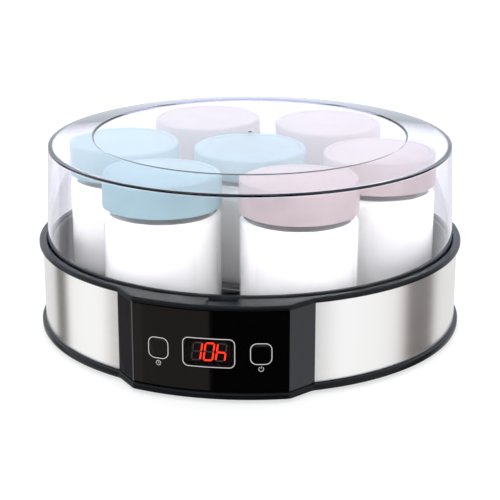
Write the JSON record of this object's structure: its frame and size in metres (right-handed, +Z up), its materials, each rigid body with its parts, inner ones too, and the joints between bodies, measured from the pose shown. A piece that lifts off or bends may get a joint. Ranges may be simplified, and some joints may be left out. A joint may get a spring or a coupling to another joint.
{
  "type": "yogurt maker",
  "caption": "Round heated base with a steel band and a digital control bay, glass jars with coloured screw caps, and a clear lift-off lid.",
  "frame": {"origin": "on the table, under the middle of the base's outline, control bay included", "axes": "+Z up; the control bay faces -Y; +X to the right seen from the front"},
  "size_m": [0.2496, 0.2574, 0.1148],
  "materials": {
    "lid_clear": "clear polished plastic",
    "jar_glass": "clear pressed glass",
    "yogurt_white": "set white yogurt, smooth and moist",
    "cap_blue": "light blue satin plastic",
    "cap_pink": "pale pink satin plastic",
    "rim_black": "black, satin at the rims and polished on the bay's top",
    "tray_black": "black moulded plastic",
    "band_steel": "brushed along the band",
    "bay_grey": "dark grey glossy plastic",
    "fascia_black": "polished black",
    "lens_smoke": "polished smoked window",
    "print_white": "thin white print",
    "digit_red": "lit display segment",
    "digit_off": "unlit display segment",
    "rubber_black": "matt",
    "screw_steel": "zinc plated",
    "heater_aluminium": "plain sheet",
    "board_green": "solder mask",
    "component_black": "moulded component",
    "relay_blue": "moulded component",
    "ceramic_cream": "plain",
    "wire_red": "silicone sleeve",
    "ribbon_grey": "flat cable"
  },
  "bodies": {
    "base": {"jar_tray": "tray_black", "housing_ring": "rim_black", "outlet_plate": "component_black", "steel_band": "band_steel", "bottom_pan": "rim_black", "cord_bush": "rubber_black", "foot_1": "rubber_black", "foot_2": "rubber_black", "foot_3": "rubber_black", "foot_4": "rubber_black", "housing_screw_1": "screw_steel", "housing_screw_2": "screw_steel", "housing_screw_3": "screw_steel", "housing_screw_4": "screw_steel", "heater_plate": "heater_aluminium", "heater_loop": "heater_aluminium", "heater_screw_1": "screw_steel", "heater_screw_2": "screw_steel", "heater_screw_3": "screw_steel", "temperature_sensor": "ceramic_cream", "thermal_fuse": "ceramic_cream", "heater_lead_left": "wire_red", "heater_lead_right": "wire_red", "power_board": "board_green", "relay": "relay_blue", "film_capacitor": "ceramic_cream", "mains_terminal": "component_black", "power_board_screw_1": "screw_steel", "power_board_screw_2": "screw_steel", "ribbon_cable": "ribbon_grey", "panel_frame": "bay_grey", "control_fascia": "fascia_black", "display_lens": "lens_smoke", "display_module": "component_black", "control_board": "board_green", "time_switch": "component_black", "power_switch": "component_black", "control_board_screw_left": "screw_steel", "control_board_screw_right": "screw_steel"},
    "lid": {"clear_lid": "lid_clear"},
    "time_button": {"time_button": "fascia_black"},
    "power_button": {"power_button": "fascia_black"},
    "jar_center": {"jar_center": "jar_glass"},
    "jar_right": {"jar_right": "jar_glass"},
    "jar_back_right": {"jar_back_right": "jar_glass"},
    "jar_back_left": {"jar_back_left": "jar_glass"},
    "jar_left": {"jar_left": "jar_glass"},
    "jar_front_left": {"jar_front_left": "jar_glass"},
    "jar_front_right": {"jar_front_right": "jar_glass"},
    "cap_center": {"cap_center": "cap_blue"},
    "cap_right": {"cap_right": "cap_pink"},
    "cap_back_right": {"cap_back_right": "cap_pink"},
    "cap_back_left": {"cap_back_left": "cap_pink"},
    "cap_left": {"cap_left": "cap_blue"},
    "cap_front_left": {"cap_front_left": "cap_blue"},
    "cap_front_right": {"cap_front_right": "cap_pink"}
  },
  "joints": [
    {"name": "lid_lift", "type": "slide", "parent": "base", "child": "lid", "axis": [0, 0, 1], "range_m": [0, 0.12]},
    {"name": "time_press", "type": "slide", "parent": "base", "child": "time_button", "axis": [0.2113, 0.9774, 0], "range_m": [0, 0.0008], "stiffness_N_per_m": 300},
    {"name": "power_press", "type": "slide", "parent": "base", "child": "power_button", "axis": [-0.2113, 0.9774, 0], "range_m": [0, 0.0008], "stiffness_N_per_m": 300},
    {"name": "jar_center_lift", "type": "slide", "parent": "base", "child": "jar_center", "axis": [0, 0, 1], "range_m": [0, 0.03]},
    {"name": "jar_right_lift", "type": "slide", "parent": "base", "child": "jar_right", "axis": [0, 0, 1], "range_m": [0, 0.03]},
    {"name": "jar_back_right_lift", "type": "slide", "parent": "base", "child": "jar_back_right", "axis": [0, 0, 1], "range_m": [0, 0.03]},
    {"name": "jar_back_left_lift", "type": "slide", "parent": "base", "child": "jar_back_left", "axis": [0, 0, 1], "range_m": [0, 0.03]},
    {"name": "jar_left_lift", "type": "slide", "parent": "base", "child": "jar_left", "axis": [0, 0, 1], "range_m": [0, 0.03]},
    {"name": "jar_front_left_lift", "type": "slide", "parent": "base", "child": "jar_front_left", "axis": [0, 0, 1], "range_m": [0, 0.03]},
    {"name": "jar_front_right_lift", "type": "slide", "parent": "base", "child": "jar_front_right", "axis": [0, 0, 1], "range_m": [0, 0.03]},
    {"name": "cap_center_lift", "type": "slide", "parent": "jar_center", "child": "cap_center", "axis": [0, 0, 1], "range_m": [0, 0.024]},
    {"name": "cap_right_lift", "type": "slide", "parent": "jar_right", "child": "cap_right", "axis": [0, 0, 1], "range_m": [0, 0.024]},
    {"name": "cap_back_right_lift", "type": "slide", "parent": "jar_back_right", "child": "cap_back_right", "axis": [0, 0, 1], "range_m": [0, 0.024]},
    {"name": "cap_back_left_lift", "type": "slide", "parent": "jar_back_left", "child": "cap_back_left", "axis": [0, 0, 1], "range_m": [0, 0.024]},
    {"name": "cap_left_lift", "type": "slide", "parent": "jar_left", "child": "cap_left", "axis": [0, 0, 1], "range_m": [0, 0.024]},
    {"name": "cap_front_left_lift", "type": "slide", "parent": "jar_front_left", "child": "cap_front_left", "axis": [0, 0, 1], "range_m": [0, 0.024]},
    {"name": "cap_front_right_lift", "type": "slide", "parent": "jar_front_right", "child": "cap_front_right", "axis": [0, 0, 1], "range_m": [0, 0.024]}
  ],
  "couplings": [
    {"joint": "jar_center_lift", "follows": "lid_lift", "ratio": 0.25},
    {"joint": "jar_right_lift", "follows": "lid_lift", "ratio": 0.25},
    {"joint": "jar_back_right_lift", "follows": "lid_lift", "ratio": 0.25},
    {"joint": "jar_back_left_lift", "follows": "lid_lift", "ratio": 0.25},
    {"joint": "jar_left_lift", "follows": "lid_lift", "ratio": 0.25},
    {"joint": "jar_front_left_lift", "follows": "lid_lift", "ratio": 0.25},
    {"joint": "jar_front_right_lift", "follows": "lid_lift", "ratio": 0.25},
    {"joint": "cap_center_lift", "follows": "lid_lift", "ratio": 0.2},
    {"joint": "cap_right_lift", "follows": "lid_lift", "ratio": 0.2},
    {"joint": "cap_back_right_lift", "follows": "lid_lift", "ratio": 0.2},
    {"joint": "cap_back_left_lift", "follows": "lid_lift", "ratio": 0.2},
    {"joint": "cap_left_lift", "follows": "lid_lift", "ratio": 0.2},
    {"joint": "cap_front_left_lift", "follows": "lid_lift", "ratio": 0.2},
    {"joint": "cap_front_right_lift", "follows": "lid_lift", "ratio": 0.2}
  ]
}
